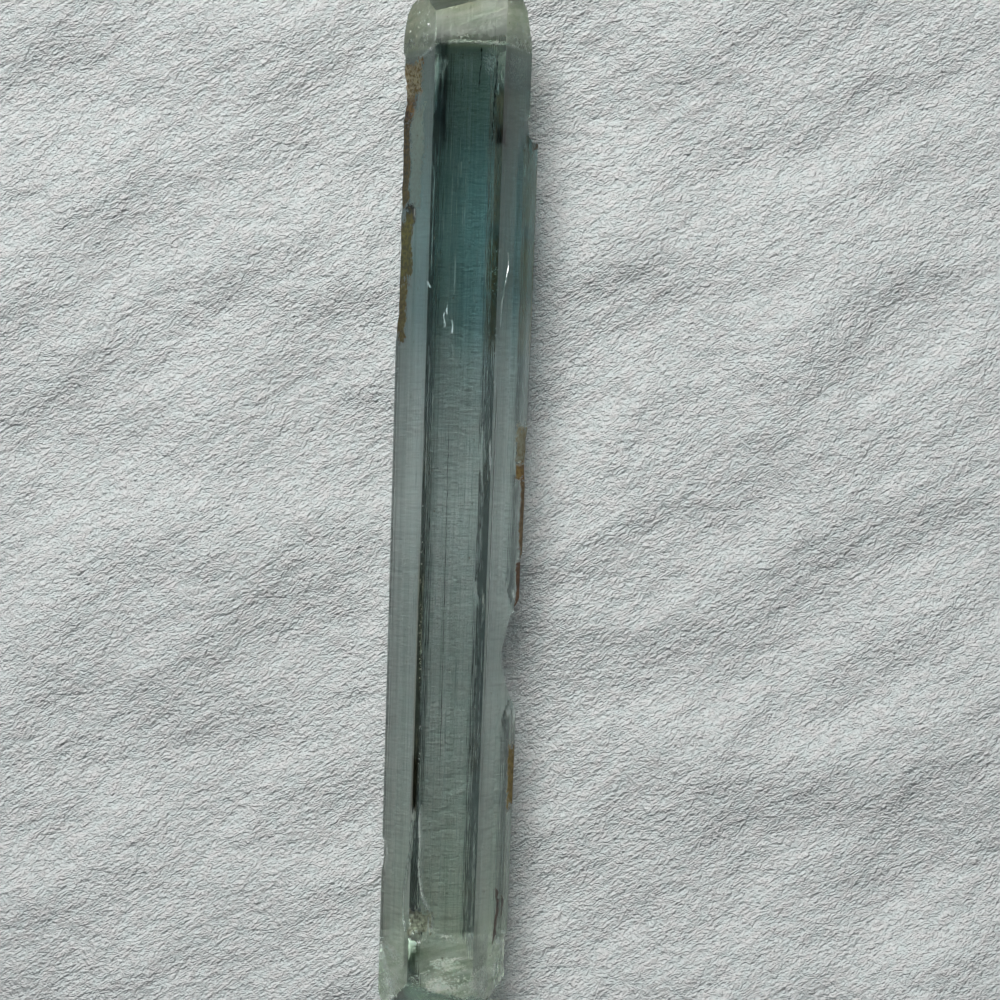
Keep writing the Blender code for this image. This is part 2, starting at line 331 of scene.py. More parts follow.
for cuts in (ROWS // 2 - 1, 1):  # one subdivide makes at most 100 cuts
    cut_lengthwise(crystal, cuts)
print("tube:", len(crystal.data.vertices), "vertices", len(crystal.data.polygons), "faces")

# %% Each vertex's column and row
tube = places(crystal)
spans = np.array([COLUMNS[name] for name in COLUMNS])
firsts = np.concatenate([[0], np.cumsum(spans)])
angle = np.arctan2(tube[:, 2], tube[:, 0])
column = np.rint((angle / (2 * pi)) * column_count).astype(int) % column_count
row = np.rint((tube[:, 1] / (LENGTH + 2 * SPARE) + 0.5) * ROWS).astype(int)
print("columns", column.min(), "to", column.max(), "rows", row.min(), "to", row.max())

# %% [markdown]
# Rows are drawn closer together where the crystal is chipped, bitten or etched, because a chip there needs
# them.

# %% Rows, closer together where there is detail
FINE_STRETCHES = [  # head end and foot end in mm, how many times finer
    (27.0, 21.0, 2.2),
    (18.0, 15.5, 2.0),
    (-5.0, -12.5, 2.2),
    (-16.8, -26.6, 4.0),
]
RUNGS = 4001
ladder = np.linspace(-LENGTH / 2 - SPARE, LENGTH / 2 + SPARE, RUNGS)
density = np.ones(len(ladder))
for head_end, foot_end, times in FINE_STRETCHES:
    density[(ladder > foot_end * MM) & (ladder < head_end * MM)] = times
climb = np.concatenate([[0], np.cumsum((density[1:] + density[:-1]) / 2)])
row_places = np.interp(np.arange(ROWS + 1) / ROWS, climb / climb[-1], ladder)
spacing = np.diff(row_places) / MM
print("row spacing in mm:", round(float(spacing.min()), 3), "to", round(float(spacing.max()), 3))

# %% [markdown]
# ## Growth layers and striations
#
# Beryl's long faces are never flat. Each is a pile of thin layers that spread along the crystal and stopped,
# so a face is ruled with long, nearly straight steps. They could be painted as a bump, but a step that bends
# the light that goes through a clear crystal has to be there, so every vertex is moved out along its face by
# the layers' height at its place: the CAD solid's own layers first, then finer ones, then hair-thin
# striations.

# %% Layers as in the CAD solid
LAYER_SLOPE = 0.10  # mm, how wide the slope at a layer's side is
LAYER_TIP = 0.8  # mm, how long the slope at its ends is
LAYER_SLANT = 0.6  # mm, how far an end leans across its face
LAYERS = [  # face, first and last share of its width, height, head end and foot end in mm
    ("lower_right", 0.08, 0.36, 0.010, 40.0, -40.0),
    ("lower_right", 0.50, 0.80, 0.008, 21.0, -25.0),
    ("upper_right", 0.55, 0.93, 0.010, 26.0, -14.0),
    ("upper_right", 0.70, 0.86, 0.008, 12.5, -40.0),
    ("top", 0.12, 0.33, 0.006, 24.0, -16.5),
    ("top", 0.52, 0.90, 0.007, 40.0, -12.0),
    ("top", 0.60, 0.74, 0.006, 17.0, -25.5),
    ("upper_left", 0.16, 0.50, 0.012, 19.5, -40.0),
    ("upper_left", 0.62, 0.88, 0.012, 8.0, -21.0),
    ("lower_left", 0.10, 0.42, 0.010, 40.0, -23.0),
    ("lower_left", 0.56, 0.84, 0.010, 16.0, -40.0),
]
FACE_ORDER = list(COLUMNS)


def ramp(value, low, high):
    """0 below low, 1 above high, a straight line between."""
    return np.clip((value - low) / (high - low), 0.0, 1.0)


def ends_at(foot_end, head_end, tip, lean):
    """1 between two places along the crystal and 0 beyond them, with slopes as long as tip, and leaning."""
    foot_riser = ramp(lengthwise + lean, foot_end, foot_end + tip)
    head_riser = ramp(-lengthwise + lean, -head_end, -head_end + tip)
    return np.minimum(foot_riser, head_riser)


def smooth_noise(across, along, seed):
    """Smooth noise from about -1 to 1 at each pair of places."""
    return np.array([noise.noise((a, b, seed)) for a, b in zip(across, along)])


lengthwise = row_places[row] / MM
face_of = np.searchsorted(firsts, column, side="right") - 1
share_of_width = (column - firsts[face_of]) / spans[face_of]
face_width = np.array([section[name][3] for name in FACE_ORDER])[face_of] / MM
across = share_of_width * face_width
height_mm = np.zeros(len(tube))
for name, first, last, tall, head_end, foot_end in LAYERS:
    width = section[name][3] / MM
    here = face_of == FACE_ORDER.index(name)
    first_riser = ramp(across, first * width - LAYER_SLOPE, first * width)
    last_riser = ramp(-across, -last * width - LAYER_SLOPE, -last * width)
    profile = np.minimum(first_riser, last_riser)
    ends = ends_at(foot_end, head_end, LAYER_TIP, LAYER_SLANT * share_of_width)
    height_mm += np.where(here, tall * profile * ends, 0.0)
print("layers:", len(LAYERS), "up to", round(float(height_mm.max()), 3), "mm high")

# %% Finer layers and striations
FINE_LAYERS = [  # cells per mm across and along, steps, height in mm
    (1.6, 0.030, 6, 0.006),
    (4.0, 0.045, 4, 0.003),
    (9.0, 0.09, 3, 0.0015),
]
STRIATION = 0.0020  # mm, one for each column
for number, (per_across, per_along, steps, tall) in enumerate(FINE_LAYERS):
    wave = smooth_noise(across * per_across + 17.3 * face_of, lengthwise * per_along, 3.7 + number)
    height_mm += tall * np.rint(wave * steps) / steps * 2
stripes = smooth_noise(column * 0.9, lengthwise * 0.11, 9.1)
height_mm += STRIATION * stripes
print("relief in mm:", round(float(height_mm.min()), 3), "to", round(float(height_mm.max()), 3))

# %% Plates on the right-hand corner
PLATE_PROUD, PLATE_WRAP, PLATE_SLANT = 0.24, 1.60, 1.7  # mm
PLATE_EDGE = 0.025  # mm, how thick its thin edge is
PLATE_TIP = 0.35  # mm, how long the slope at its ends is
PLATES = [(21.6, -6.2), (-11.2, -28.6)]  # head end and foot end in mm, with the bite between them
FAR = 99.0  # mm, further than anything on the crystal
lower_right, upper_right = FACE_ORDER.index("lower_right"), FACE_ORDER.index("upper_right")
below_corner = np.where(face_of == lower_right, face_width - across, FAR)
from_right_corner = np.where(face_of == upper_right, across, below_corner)
for head_end, foot_end in PLATES:
    lean = PLATE_SLANT * ramp(from_right_corner, 0.0, PLATE_WRAP)
    back = PLATE_WRAP + 0.05 * smooth_noise(lengthwise * 0.35, lengthwise * 0.0, 4.4 + head_end)
    thin_edge = PLATE_EDGE * ramp(-from_right_corner, -back - 0.07, -back)
    body = (PLATE_PROUD - PLATE_EDGE) * ramp(-from_right_corner, -back, -0.35 * back)
    height_mm += ends_at(foot_end, head_end, PLATE_TIP, -lean) * (thin_edge + body)
print("with the plates:", round(float(height_mm.max()), 3), "mm high")

# %% The face it rests on has nothing standing out below the floor
RESTS_BELOW = 0.01  # mm, how far its relief is taken down before what still stands out is cut off
rest_here = (face_of == 0) | (share_of_width == 0) & (face_of == 1)
height_mm = np.where(rest_here, np.minimum(height_mm - RESTS_BELOW, 0.0), height_mm)
print("the face it rests on:", round(float(height_mm[rest_here].min()), 3), "mm at its hollowest")

# %% Wrap the tube round the section
corners = np.array([section[name][0] for name in FACE_ORDER])
directions = np.array([section[name][1] for name in FACE_ORDER])
outwards = np.array([section[name][2] for name in FACE_ORDER])
flat = corners[face_of] + directions[face_of] * (across * MM)[:, None]
normal = outwards[face_of].copy()
on_corner = share_of_width == 0
normal[on_corner] = (outwards[face_of] + outwards[(face_of - 1) % 6])[on_corner] / (2 * cos(TURN / 2) ** 2)
raised = flat + normal * (height_mm * MM)[:, None]
slim = 1 + TAPER * lengthwise * MM / LENGTH
wrapped = np.column_stack([raised[:, 0] * slim, lengthwise * MM, raised[:, 1] * slim])
print("prism in mm:", (wrapped.min(0) / MM).round(2), (wrapped.max(0) / MM).round(2))

# %% Broken corners: nothing stands out past a rough wall along the left and the right
NOTCH_WALL = [  # place along and place across in mm
    (-5.0, 4.5),
    (-5.2, 4.3),
    (-6.5, 3.54),
    (-7.9, 3.13),
    (-8.8, 3.03),
    (-9.4, 3.06),
    (-10.2, 3.23),
    (-11.2, 3.6),
    (-11.75, 3.9),
    (-11.9, 4.5),
]
BEVEL_WALL, BEVEL_FOOT = 3.545, 20.8  # place across, and the bevel's foot end, in mm
FLAKE_WALL, FLAKE_FOOT, FLAKE_HEAD = -3.515, 10.2, 25.6
AWAY = 9.0  # mm, a wall too far out to cut anything
wall_places = np.array(sorted(NOTCH_WALL))
rough = smooth_noise(wrapped[:, 1] / MM * 1.3, wrapped[:, 2] / MM * 0.9, 5.5)
rougher = smooth_noise(wrapped[:, 1] / MM * 3.9, wrapped[:, 2] / MM * 3.1, 6.5)
bitten = np.interp(lengthwise, wall_places[:, 0], wall_places[:, 1], left=AWAY, right=AWAY)
bitten = bitten + 0.03 * (wrapped[:, 2] / MM - 4.0) + 0.07 * rough + 0.04 * rougher
bevel = (BEVEL_WALL + 0.03 * rough + 0.02 * rougher) * slim
bevelled = np.where(lengthwise > BEVEL_FOOT, bevel, AWAY)
flake = (FLAKE_WALL + 0.05 * rough + 0.03 * rougher) * slim
flaked = np.where((lengthwise > FLAKE_FOOT) & (lengthwise < FLAKE_HEAD), flake, -AWAY)
wrapped[:, 0] = np.clip(wrapped[:, 0], flaked * MM, np.minimum(bitten, bevelled) * MM)
print("width in mm after the flakes:", round(float(np.ptp(wrapped[:, 0]) / MM), 2))

# %% [markdown]
# The chips are shallow. Each is a patch of the surface pushed in and roughened, with a ragged edge. Near the
# foot an etched hollow opens down the left edge of the top face: two fissures that run apart round a rough-
# floored bowl.

# %% Chips
CHIP_RAGGED = 0.22  # mm, how far a chip's outline wanders
CHIPS = [  # left, right, foot, head, lowest height in mm, depth, roughness, edge softness
    (-4.4, -2.60, 21.8, 24.5, 3.0, 0.16, 0.12, 0.20),
    (-4.4, -3.20, 15.9, 21.9, 3.6, 0.05, 0.05, 0.10),
    (-3.3, -2.75, 15.8, 16.9, 4.0, 0.16, 0.08, 0.08),
    (-4.4, -2.95, 9.3, 15.9, 3.6, 0.06, 0.05, 0.10),
    (3.35, 4.6, 21.4, 22.5, 3.0, 0.10, 0.04, 0.25),
    (3.5, 4.6, 1.3, 4.0, 3.2, 0.05, 0.06, 0.10),
    (3.7, 4.6, -6.4, -3.2, 3.0, 0.06, 0.06, 0.10),
    (-4.4, -3.1, -21.8, -19.6, 2.6, 0.10, 0.06, 0.20),
    (1.45, 2.15, 1.7, 3.5, 6.0, 0.05, 0.05, 0.06),
    (1.45, 2.10, -6.0, -4.1, 6.0, 0.05, 0.05, 0.06),
    (3.2, 4.6, -27.8, -24.9, 3.0, 0.10, 0.08, 0.20),
]
x, y, z = (wrapped / MM).T
ragged = smooth_noise(x * 1.1 + y * 0.3, y * 1.3 + z * 0.9, 12.5)
coarse = smooth_noise(x * 2.3, y * 2.1 + z * 1.7, 13.5)
fine = smooth_noise(x * 5.1, y * 5.3 + z * 4.1, 14.5)
push = np.zeros(len(x))
for left, right, foot, head, low, deep, roughness, soft in CHIPS:
    edge = np.minimum.reduce([x - left, right - x, (y - foot) * 0.7, (head - y) * 0.7, z - low])
    edge = edge + CHIP_RAGGED * ragged
    push = np.maximum(push, ramp(edge, 0.0, soft) * (deep + roughness * (0.6 * coarse + 0.5 * fine)))
section_normal = np.column_stack([normal[:, 0], np.zeros(len(x)), normal[:, 1]])
wrapped -= section_normal * (push * MM)[:, None]
print(len(CHIPS), "chips, the deepest", round(float(push.max()), 2), "mm")

# %% The etched hollow
HOLLOW_LEFT = [  # place along and place across in mm
    (-17.4, -1.52),
    (-18.7, -1.72),
    (-20.5, -1.77),
    (-21.9, -1.95),
    (-23.2, -2.04),
    (-24.1, -1.93),
    (-24.7, -1.69),
    (-25.0, -1.20),
]
HOLLOW_RIGHT = [
    (-17.4, -1.26),
    (-19.6, -1.18),
    (-21.4, -1.12),
    (-22.5, -0.91),
    (-23.2, -0.61),
    (-23.7, -0.38),
    (-24.3, -0.36),
    (-24.8, -0.64),
    (-25.0, -1.00),
]
HOLLOW_HEAD, HOLLOW_FOOT = -17.4, -25.0  # mm along the crystal, where it begins and ends
BOWL_TOP, BOWL_FLOOR = 22.9, 23.9  # mm towards the foot, where its slope begins and ends
FISSURE_WIDTH, FISSURE_DEPTH, HOLLOW_DEPTH, BOWL_DEPTH = 0.07, 0.24, 0.05, 0.34  # mm
TOP_FACE_ONLY = 5.2  # mm, nothing lower than this sinks
x, y, z = (wrapped / MM).T
left_line, right_line = np.array(sorted(HOLLOW_LEFT)), np.array(sorted(HOLLOW_RIGHT))
wobble = 0.05 * smooth_noise(y * 1.7, y * 0.0, 15.5)
from_left = x - np.interp(y, left_line[:, 0], left_line[:, 1]) - wobble
from_right = np.interp(y, right_line[:, 0], right_line[:, 1]) - x + wobble
lengthwise_in = np.minimum(y - HOLLOW_FOOT, HOLLOW_HEAD - y)
inside = np.minimum.reduce([from_left, from_right, lengthwise_in])
floor = HOLLOW_DEPTH * ramp(inside, 0.0, 0.06)
bowl = ramp(-y, BOWL_TOP, BOWL_FLOOR) * ramp(inside, 0.0, 0.30)
pitted = 0.22 * smooth_noise(x * 4.1, y * 4.1, 16.5) + 0.10 * smooth_noise(x * 9.1, y * 9.1, 17.5)
floor += bowl * (BOWL_DEPTH + pitted)
rim = np.exp(-((np.minimum(from_left, from_right) / FISSURE_WIDTH) ** 2)) * ramp(lengthwise_in, -0.05, 0.5)
floor = np.maximum(floor, FISSURE_DEPTH * rim)
wrapped[:, 2] -= np.where(z > TOP_FACE_ONLY, floor, 0.0) * MM
move_to(crystal, wrapped + ROW_SHIFT)
print("bowl:", round(float(floor.max()), 2), "mm deep")

# %% [markdown]
# ## The broken ends
#
# Beryl has no good cleavage, so it breaks in smooth shells with small steps, like thick glass. Each end is
# cut away by a block whose face is that break: a fine grid, raised to the height of the lowest fracture plane
# at each place, with hollow shells, ripples and grit added. One exact Boolean then leaves the break on the
# crystal.

# %% Break surfaces
HEAD_PLANES = [  # a point on each in mm, and the way that it looks
    ((0.0, 29.25, 5.0), (0.02, 1.00, -0.03)),
    ((0.0, 26.75, 0.0), (0.02, 0.55, -0.83)),
    ((-1.3, 26.60, 0.0), (-0.24, 0.55, -0.80)),
    ((0.6, 28.35, 7.20), (-0.19, 0.63, 0.75)),
    ((-3.73, 26.90, 3.9), (-1.00, 0.14, 0.05)),
    ((-3.61, 27.90, 3.9), (-0.90, 0.44, 0.08)),
    ((-3.32, 28.50, 3.9), (-0.60, 0.80, 0.10)),
    ((-2.69, 28.97, 4.0), (-0.44, 0.90, 0.06)),
    ((2.53, 29.20, 4.0), (0.65, 0.76, 0.05)),
    ((3.11, 28.40, 4.0), (0.86, 0.50, -0.04)),
    ((3.52, 27.20, 4.0), (1.00, 0.18, 0.02)),
]
FOOT_PLANES = [
    ((0.0, -29.25, 4.6), (0.05, -1.00, -0.02)),
    ((0.3, -25.45, 0.0), (0.06, -0.50, -0.86)),
    ((-0.2, -27.75, 6.70), (-0.16, -0.68, 0.72)),
    ((1.6, -28.30, 6.40), (0.30, -0.80, 0.52)),
    ((-3.30, -28.40, 3.4), (-0.48, -0.58, -0.66)),
    ((3.25, -28.20, 3.8), (0.80, -0.60, 0.04)),
]
# Shells are hollows: a centre and half axes, in mm.
HEAD_SHELLS = [((1.7, 31.3, 8.5), (2.4, 2.7, 2.5))]
FOOT_SHELLS = [((0.5, -31.2, 8.0), (3.1, 3.4, 3.0))]
RIPPLE_PHASE = 9.0  # radians per mm, so a ripple is 0.7 mm wide
RIPPLE_CENTRE = (1.2, 6.4)  # mm, where the break began
RIPPLE_HEIGHT, GRIT, FINE_GRIT = 0.014, 0.05, 0.018  # mm
GRID = 120
BLOCK_SIZE = 10.4 * MM
BLOCK_MIDDLE = 3.9  # mm, its height
INNERMOST, OUTERMOST, BLOCK_BACK = 20.0, 30.2, 34.0  # mm from the middle of the crystal


def break_depth(x, z, planes, shells, way):
    """How far out the broken surface lies at each place, in mm. Way is 1 for the head and -1 for the foot."""
    depth = np.full(len(x), 1e9)
    for point, looks in planes:
        reach = np.dot(point, looks) - looks[0] * x - looks[2] * z
        depth = np.minimum(depth, way * reach / looks[1])
    for (cx, cy, cz), (hx, hy, hz) in shells:
        inside = 1 - ((x - cx) / hx) ** 2 - ((z - cz) / hz) ** 2
        hollow = way * cy - hy * np.sqrt(np.maximum(inside, 0))
        depth = np.where(inside > 0, np.minimum(depth, hollow), depth)
    from_centre = np.hypot(x - RIPPLE_CENTRE[0], z - RIPPLE_CENTRE[1])
    ripple = np.sin(RIPPLE_PHASE * from_centre + 1.5 * smooth_noise(x * 0.8, z * 0.8, 2.2))
    grit = smooth_noise(x * 2.3, z * 2.3, 7.7) * GRIT + smooth_noise(x * 6.1, z * 6.1, 8.8) * FINE_GRIT
    return depth + RIPPLE_HEIGHT * ripple * ramp(smooth_noise(x * 0.5, z * 0.5, 1.4), -0.2, 0.4) + grit


def break_block(name, planes, shells, way):
    """A block beyond one end of the crystal, whose near face is the broken surface."""
    bpy.ops.object.select_all(action="DESELECT")
    bpy.ops.mesh.primitive_grid_add(
        x_subdivisions=GRID,
        y_subdivisions=GRID,
        size=BLOCK_SIZE,
        location=(0, 0, 0),
    )
    block = bpy.context.object
    block.name = name
    bpy.ops.object.mode_set(mode="EDIT")
    bpy.ops.mesh.select_all(action="SELECT")
    bpy.ops.mesh.extrude_region_move(TRANSFORM_OT_translate={"value": (0, 0, 1 * MM)})
    bpy.ops.object.mode_set(mode="OBJECT")
    spots = places(block) / MM
    near = spots[:, 2] < 0.5
    x, z = spots[:, 0], spots[:, 1] + BLOCK_MIDDLE
    depth = break_depth(x, z, planes, shells, way)
    lengthwise_place = way * np.where(near, np.clip(depth, INNERMOST, OUTERMOST), BLOCK_BACK)
    placed = np.column_stack([x, lengthwise_place, z]) * MM + ROW_SHIFT
    move_to(block, placed)
    bpy.ops.object.mode_set(mode="EDIT")
    bpy.ops.mesh.select_all(action="SELECT")
    bpy.ops.mesh.normals_make_consistent(inside=False)
    bpy.ops.object.mode_set(mode="OBJECT")
    return block


def cut_away(body, block):
    """Cut the block out of the body, and remove the block."""
    only(body)
    step = body.modifiers.new(block.name, "BOOLEAN")
    step.operation = "DIFFERENCE"
    step.object = block
    step.solver = "EXACT"
    bpy.ops.object.modifier_apply(modifier=step.name)
    bpy.data.objects.remove(block)


BREAKS = {"head_break": (HEAD_PLANES, HEAD_SHELLS, 1), "foot_break": (FOOT_PLANES, FOOT_SHELLS, -1)}
for name, (planes, shells, way) in BREAKS.items():
    cut_away(crystal, break_block(name, planes, shells, way))
print("after the breaks:", len(crystal.data.polygons), "faces")

# %% [markdown]
# ## Aquamarine
#
# Aquamarine is beryl with a trace of iron. It is clear, so its colour lies in its depth: a thick place is
# darker than a thin one. A plain volume absorption does that, and its index of refraction is 1.577. The iron
# was not taken up evenly: this crystal is deep blue below its head, and nearly colourless at both ends. That
# zoning, and the rust that crept along its corners, are drawn in the base colour, which tints light as it
# enters and leaves.
# The base colour also holds painted shade, a painted reflection and painted shimmer, named where drawn.

# %% The clear crystal, and its place in millimetres
BERYL_IOR = 1.577
BERYL_DENSITY = 36.0  # how strongly it absorbs, per metre

clear = {"Transmission Weight": 1.0, "IOR": BERYL_IOR}
aquamarine, tree, shader = new_look("aquamarine_beryl", clear)
absorbs = {"Color": hex_colour("A0CFC8"), "Density": BERYL_DENSITY}
depth_colour = add_node(tree, "ShaderNodeVolumeAbsorption", inputs=absorbs)
tree.links.new(depth_colour.outputs["Volume"], tree.nodes["Material Output"].inputs["Volume"])

spot = add_node(tree, "ShaderNodeTexCoord")
in_mm = add_node(
    tree,
    "ShaderNodeVectorMath",
    settings={"operation": "SCALE"},
    inputs={"Scale": 1000.0},  # from metres
    links={0: spot.outputs["Object"]},
)
place = add_node(tree, "ShaderNodeSeparateXYZ", links={"Vector": in_mm.outputs[0]})
print("IOR", BERYL_IOR, "and a density of", BERYL_DENSITY, "per metre")

# %% [markdown]
# Edges of zones and stains are never straight. One noise shifts every place a little before its zone is
# looked up, and a finer one frays the edges of the rust.


# %% Crooked places, and two helpers that draw on them
wander = add_node(
    tree,
    "ShaderNodeTexNoise",
    inputs={"Scale": 0.9, "Detail": 3.0, "Roughness": 0.6},
    links={"Vector": in_mm.outputs[0]},
)
off_centre = add_node(
    tree,
    "ShaderNodeVectorMath",
    settings={"operation": "SUBTRACT"},
    inputs={1: (0.5, 0.5, 0.5)},
    links={0: wander.outputs["Color"]},
)
crooked = add_node(
    tree,
    "ShaderNodeVectorMath",
    settings={"operation": "MULTIPLY_ADD"},
    inputs={1: (0.5, 1.8, 0.5)},
    links={0: off_centre.outputs[0], 2: in_mm.outputs[0]},
)
frayed = add_node(
    tree,
    "ShaderNodeTexNoise",
    inputs={"Scale": 4.5, "Detail": 4.0, "Roughness": 0.65},
    links={"Vector": in_mm.outputs[0]},
)


def patch(tree, where, left, right, foot, head, soft_x, soft_y):
    """A mask that is 1 inside a soft-edged rectangle seen from above, in mm, and 0 outside it."""
    centre = ((left + right) / 2, (foot + head) / 2, 0)
    half = ((right - left) / 2, (head - foot) / 2, 0)
    per_soft = (1 / soft_x, 1 / soft_y, 0)
    steps = (("SUBTRACT", centre), ("ABSOLUTE", None), ("SUBTRACT", half), ("MULTIPLY", per_soft))
    for operation, value in steps:
        plain = {} if value is None else {1: value}
        made = add_node(tree, "ShaderNodeVectorMath", {"operation": operation}, plain, {0: where})
        where = made.outputs[0]
    sides = add_node(tree, "ShaderNodeSeparateXYZ", links={"Vector": where})
    worst = add_node(
        tree,
        "ShaderNodeMath",
        settings={"operation": "MAXIMUM"},
        links={0: sides.outputs["X"], 1: sides.outputs["Y"]},
    )
    soft = add_node(
        tree,
        "ShaderNodeMapRange",
        settings={"interpolation_type": "SMOOTHSTEP"},
        inputs={"From Min": 1.0, "From Max": -1.0},
        links={"Value": worst.outputs[0]},
    )
    return soft.outputs["Result"]


def tinted(tree, colour, mask, other, strength=1.0, way="MIX"):
    """The colour, mixed towards another or multiplied by it where the mask is 1, at a given strength."""
    share = add_node(tree, "ShaderNodeMath", {"operation": "MULTIPLY"}, {1: strength}, {0: mask})
    made = add_node(
        tree,
        "ShaderNodeMix",
        settings={"data_type": "RGBA", "blend_type": way},
        inputs={7: hex_colour(other)},
        links={0: share.outputs[0], 6: colour},
    )
    return made.outputs[2]


# %% [markdown]
# A zone's boundary follows the growing tip, so it is not square to the crystal: it leans a little with the
# height, and it comes down along the left-hand corner.

# %% Colour zones along the crystal
COLOUR_ALONG = [  # place along Y in mm, sRGB colour
    (-29.0, "FFFFF6"),
    (-25.2, "FFFFF4"),
    (-15.0, "FEFEFC"),
    (-3.0, "FFFFFF"),
    (5.0, "FFFFFF"),
    (8.5, "F2F6F8"),
    (11.5, "D0E2E6"),
    (15.0, "C6DEE1"),
    (19.0, "BCD6D8"),
    (22.5, "A6BCC0"),
    (26.5, "A0B4B8"),
    (26.8, "FAFFEE"),
    (29.5, "FCFFE8"),
]
SPAN = 60.0  # mm, a little longer than the crystal
ZONE_SLANT = 0.13  # mm along for each mm of height
LEFT_OF_TOP, LEFT_CORNER = -1.9, -3.9  # mm across
by_left = add_node(
    tree,
    "ShaderNodeMapRange",
    inputs={"From Min": LEFT_OF_TOP, "From Max": LEFT_CORNER, "To Max": 1.0},
    links={"Value": place.outputs["X"]},
)
slanted_up = add_node(
    tree,
    "ShaderNodeMath",
    settings={"operation": "MULTIPLY_ADD"},
    inputs={1: ZONE_SLANT},
    links={0: place.outputs["Z"], 2: place.outputs["Y"]},
)
zone_place = add_node(
    tree,
    "ShaderNodeMath",
    settings={"operation": "ADD"},
    links={0: slanted_up.outputs[0], 1: by_left.outputs["Result"]},
)
along_share = add_node(
    tree,
    "ShaderNodeMapRange",
    inputs={"From Min": -SPAN / 2, "From Max": SPAN / 2},
    links={"Value": zone_place.outputs[0]},
)
zones = add_node(tree, "ShaderNodeValToRGB", links={"Fac": along_share.outputs["Result"]})
set_stops(zones, [((millimetres + SPAN / 2) / SPAN, shade) for millimetres, shade in COLOUR_ALONG])
colour = zones.outputs["Color"]
print(len(COLOUR_ALONG), "places along it have a colour")

# %% Across it: colour zones, a dark inclusion, and painted shade on the sides, the left dark band and the foot
ACROSS = [  # left, right, foot, head in mm, soft edges across and along, colour, strength, way
    # Painted shade: the first two rows darken the left and right sides a little.
    (-6.0, -1.9, -24.0, 24.0, 0.20, 1.0, "F6F8F7", 1.0, "MULTIPLY"),
    (2.1, 6.0, -24.0, 24.0, 0.20, 1.0, "F0F3F2", 1.0, "MULTIPLY"),
    (2.1, 6.0, 11.0, 25.4, 0.20, 1.6, "94B4B6", 1.0, "MULTIPLY"),
    (-0.35, 1.50, 9.5, 20.0, 0.20, 2.2, "C8E8F0", 0.5, "MIX"),
    # Painted shade: a dark patch on the left dark band below the head.
    (-1.95, -1.30, 20.8, 26.0, 0.16, 0.8, "545E60", 1.0, "MULTIPLY"),
    # The next two darken strips by the right edge of the top face below the head.
    (1.62, 2.10, 9.0, 19.9, 0.10, 1.0, "A8B8B8", 1.0, "MULTIPLY"),
    (1.42, 2.12, 21.0, 23.4, 0.10, 0.4, "8CA0A0", 1.0, "MULTIPLY"),
    (-2.1, 0.2, 27.8, 31.0, 0.80, 0.7, "D8D0B0", 1.0, "MULTIPLY"),
    (-6.0, -3.0, 25.6, 31.0, 0.50, 0.6, "F4EED8", 1.0, "MULTIPLY"),
    # Painted shade: the next two darken the foot's left corner and the foot end of the left dark band.
    (-6.0, -3.3, -31.0, -26.6, 0.30, 0.5, "94A48C", 1.0, "MULTIPLY"),
    (-2.15, -1.45, -26.6, -24.8, 0.10, 0.3, "7C8C7C", 1.0, "MULTIPLY"),
    # Painted shade and a painted reflection of the rust on the left edge: the left dark band is darker and
    # brown.
    (-2.02, -1.66, -17.4, -3.0, 0.08, 2.0, "B4AC90", 1.0, "MULTIPLY"),
    (-2.02, -1.66, -17.6, -14.4, 0.08, 0.4, "5C4E3A", 1.0, "MULTIPLY"),
    (1.56, 2.14, 20.1, 21.1, 0.10, 0.20, "30383A", 1.0, "MULTIPLY"),
]
for left, right, foot, head, soft_x, soft_y, shade, strength, way in ACROSS:
    band = patch(tree, in_mm.outputs[0], left, right, foot, head, soft_x, soft_y)
    colour = tinted(tree, colour, band, shade, strength, way)
MIDDLE = (-9.0, 9.0, -25.0, 26.0, 1.0, 1.2)  # all but the two clear ends, in the same columns
middle = patch(tree, in_mm.outputs[0], *MIDDLE)
print(len(ACROSS), "zones across it")

# %% [markdown]
# Both ends are clear and almost colourless. Their shimmer is painted: slanting streaks are darkened a little
# and tinted green.

# %% Painted shimmer in the clear ends
SHIMMER_SLANT = radians(17)
ends = add_node(tree, "ShaderNodeMath", {"operation": "SUBTRACT"}, {0: 1.0}, {1: middle})
leaning = add_node(
    tree,
    "ShaderNodeMapping",
    settings={"vector_type": "TEXTURE"},
    inputs={"Rotation": (0, 0, SHIMMER_SLANT), "Scale": (2.4, 0.36, 1.0)},
    links={"Vector": in_mm.outputs[0]},
)
shimmer_noise = add_node(
    tree,
    "ShaderNodeTexNoise",
    inputs={"Scale": 1.0, "Detail": 4.0},
    links={"Vector": leaning.outputs[0]},
)
shimmer_streaks = add_node(
    tree,
    "ShaderNodeMapRange",
    inputs={"From Min": 0.44, "From Max": 0.62},
    links={"Value": shimmer_noise.outputs["Fac"], "To Max": ends.outputs[0]},
)
# Painted shimmer: the slanting streaks in both ends are darkened and tinted green.
colour = tinted(tree, colour, shimmer_streaks.outputs["Result"], "C8D4C2", 1.0, "MULTIPLY")
print("wisps lean by", round(SHIMMER_SLANT / pi * 180), "degrees")

# %% [markdown]
# Along the crystal run faint darker streaks, where thin growth layers took up more iron. They are long, and
# of every width from a hair to half a millimetre, so three stretched noises are laid over each other.

